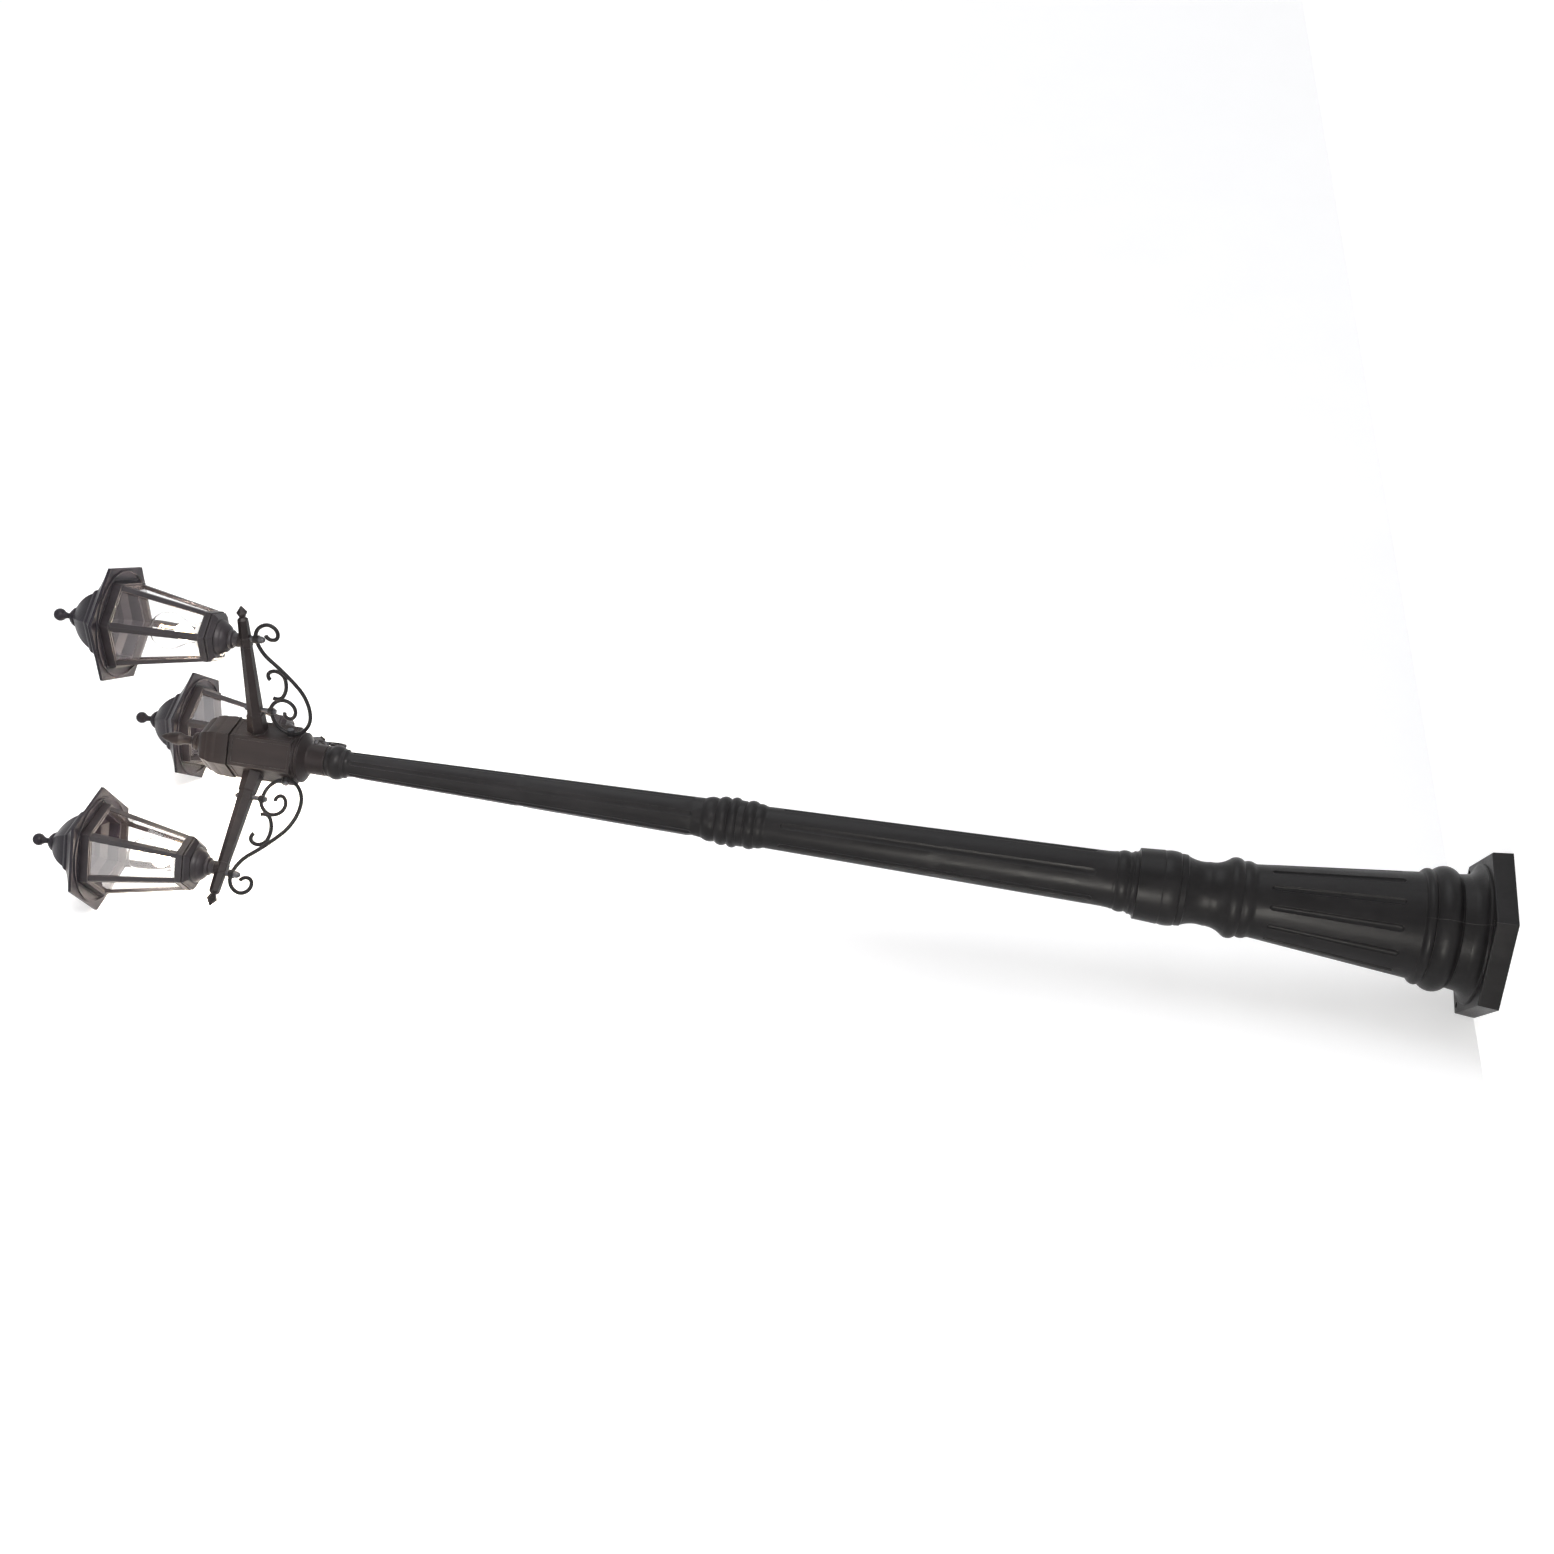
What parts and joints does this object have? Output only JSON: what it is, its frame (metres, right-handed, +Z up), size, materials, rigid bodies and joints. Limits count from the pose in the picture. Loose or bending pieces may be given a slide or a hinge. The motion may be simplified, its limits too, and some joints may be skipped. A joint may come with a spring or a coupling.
{
  "type": "garden lamp post",
  "caption": "Tall garden lamp post: hexagonal foot, fluted tapering post, and hexagonal lanterns on scrolled arms round a capped hub.",
  "frame": {"origin": "centre of the foot's underside, on the post's axis", "axes": "+Z up along the post; -Y out of the front face of the hub, between the right and left arms"},
  "size_m": [0.5238, 0.4874, 2.15],
  "materials": {
    "post_paint": "satin black powder coat on cast aluminium",
    "lantern_paint": "satin black powder coat on cast aluminium",
    "black_steel": "blackened steel fasteners",
    "zinc_steel": "zinc-plated steel",
    "holder_plastic": "moulded thermoset",
    "pane_glass": "clear pane",
    "bulb_glass": "clear lamp glass",
    "cap_aluminium": "rolled cap",
    "filament": "warm filaments on a glass stem",
    "lead_sheath": "lamp lead sheath"
  },
  "bodies": {
    "post": {"base_foot": "post_paint", "foot_nipple": "zinc_steel", "base_column": "post_paint", "column_nipple": "zinc_steel", "lower_pole": "post_paint", "pole_nipple": "zinc_steel", "upper_pole": "post_paint", "neck_screw": "black_steel", "hub": "post_paint", "hub_tie_rod": "zinc_steel", "hub_cap": "post_paint", "hub_finial": "post_paint", "terminal_block": "holder_plastic", "arm_right": "post_paint", "arm_fixing_right": "zinc_steel", "scroll_right": "post_paint", "scroll_fixings_right": "black_steel", "lantern_nipple_right": "zinc_steel", "lamp_holder_right": "holder_plastic", "lead_right": "lead_sheath", "arm_left": "post_paint", "arm_fixing_left": "zinc_steel", "scroll_left": "post_paint", "scroll_fixings_left": "black_steel", "lantern_nipple_left": "zinc_steel", "lamp_holder_left": "holder_plastic", "lead_left": "lead_sheath", "arm_back": "post_paint", "arm_fixing_back": "zinc_steel", "scroll_back": "post_paint", "scroll_fixings_back": "black_steel", "lantern_nipple_back": "zinc_steel", "lamp_holder_back": "holder_plastic", "lead_back": "lead_sheath"},
    "lantern_right": {"cup_right": "lantern_paint", "cage_right": "lantern_paint", "panes_right": "pane_glass"},
    "roof_right": {"roof_right": "lantern_paint", "roof_finial_right": "lantern_paint"},
    "bulb_right": {"bulb_glass_right": "bulb_glass", "bulb_cap_right": "cap_aluminium", "filament_right": "filament"},
    "lantern_left": {"cup_left": "lantern_paint", "cage_left": "lantern_paint", "panes_left": "pane_glass"},
    "roof_left": {"roof_left": "lantern_paint", "roof_finial_left": "lantern_paint"},
    "bulb_left": {"bulb_glass_left": "bulb_glass", "bulb_cap_left": "cap_aluminium", "filament_left": "filament"},
    "lantern_back": {"cup_back": "lantern_paint", "cage_back": "lantern_paint", "panes_back": "pane_glass"},
    "roof_back": {"roof_back": "lantern_paint", "roof_finial_back": "lantern_paint"},
    "bulb_back": {"bulb_glass_back": "bulb_glass", "bulb_cap_back": "cap_aluminium", "filament_back": "filament"}
  },
  "joints": [
    {"name": "lantern_turn_right", "type": "hinge", "parent": "post", "child": "lantern_right", "pos_m": [0.17147, -0.099, 1.857], "axis": [0, 0, 1], "range_deg": [-180, 180]},
    {"name": "roof_lift_right", "type": "slide", "parent": "lantern_right", "child": "roof_right", "axis": [0, 0, 1], "range_m": [0, 0.12]},
    {"name": "bulb_turn_right", "type": "hinge", "parent": "post", "child": "bulb_right", "pos_m": [0.17147, -0.099, 1.893], "axis": [0, 0, 1], "range_deg": [0, 900]},
    {"name": "lantern_turn_left", "type": "hinge", "parent": "post", "child": "lantern_left", "pos_m": [-0.17147, -0.099, 1.857], "axis": [0, 0, 1], "range_deg": [-180, 180]},
    {"name": "roof_lift_left", "type": "slide", "parent": "lantern_left", "child": "roof_left", "axis": [0, 0, 1], "range_m": [0, 0.12]},
    {"name": "bulb_turn_left", "type": "hinge", "parent": "post", "child": "bulb_left", "pos_m": [-0.17147, -0.099, 1.893], "axis": [0, 0, 1], "range_deg": [0, 900]},
    {"name": "lantern_turn_back", "type": "hinge", "parent": "post", "child": "lantern_back", "pos_m": [0, 0.198, 1.857], "axis": [0, 0, 1], "range_deg": [-180, 180]},
    {"name": "roof_lift_back", "type": "slide", "parent": "lantern_back", "child": "roof_back", "axis": [0, 0, 1], "range_m": [0, 0.12]},
    {"name": "bulb_turn_back", "type": "hinge", "parent": "post", "child": "bulb_back", "pos_m": [0, 0.198, 1.893], "axis": [0, 0, 1], "range_deg": [0, 900]}
  ]
}
